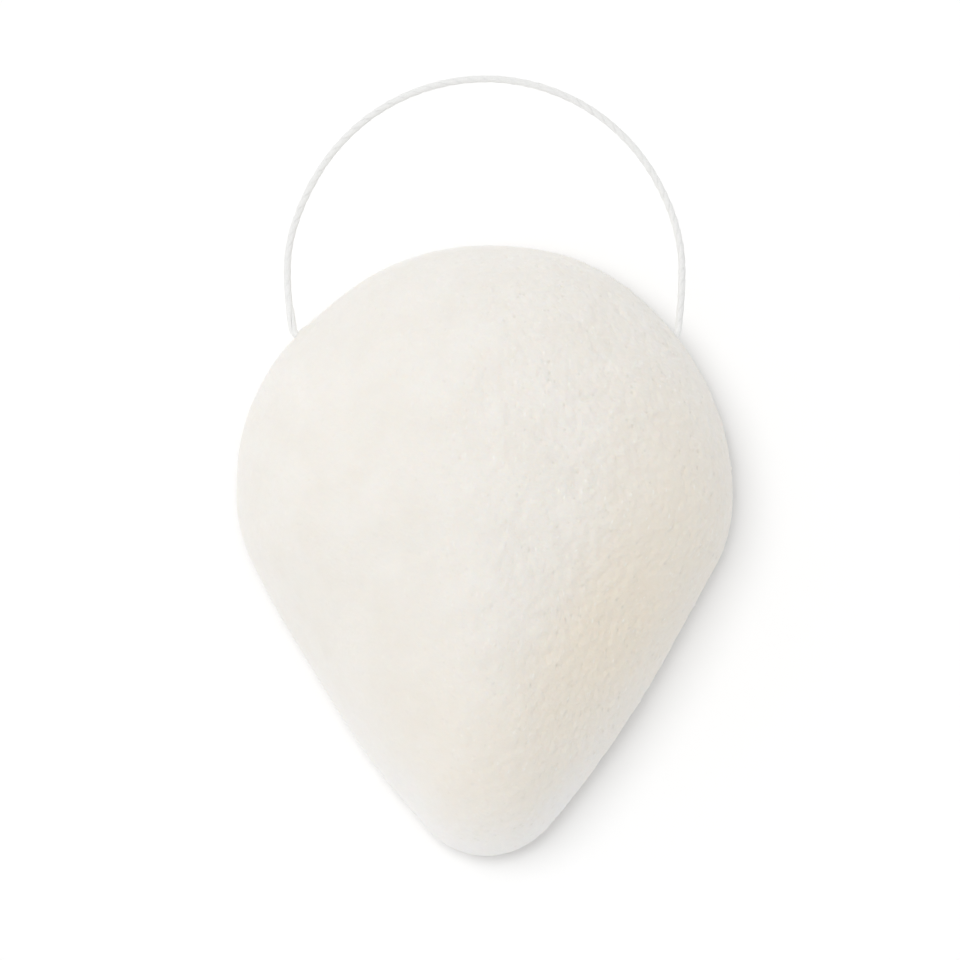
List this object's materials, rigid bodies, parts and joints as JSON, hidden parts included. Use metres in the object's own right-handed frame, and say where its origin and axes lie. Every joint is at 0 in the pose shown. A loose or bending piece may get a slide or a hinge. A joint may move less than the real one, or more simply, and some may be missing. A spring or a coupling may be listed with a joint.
{
  "type": "konjac facial sponge",
  "caption": "Drop-shaped konjac facial sponge with a flat back and a domed front, threaded on a thin string loop that hangs it up to dry.",
  "frame": {"origin": "middle of the sponge's own box, on its flat back", "axes": "+X to the right as the domed front is looked at with the loop at the top, +Y from the tip towards the loop, +Z out of the domed front"},
  "size_m": [0.065, 0.1024, 0.034],
  "materials": {
    "konjac_foam": "matte",
    "cotton_string": "matte"
  },
  "bodies": {
    "sponge": {"sponge_body": "konjac_foam"},
    "string": {"hanging_loop": "cotton_string", "threaded_run_left": "cotton_string", "threaded_run_right": "cotton_string", "cord_knot": "cotton_string"}
  },
  "joints": [
    {"name": "loop_swing", "type": "hinge", "parent": "sponge", "child": "string", "pos_m": [0, 0.0289, 0.009], "axis": [1, 0, 0], "range_deg": [-70, 110]}
  ]
}
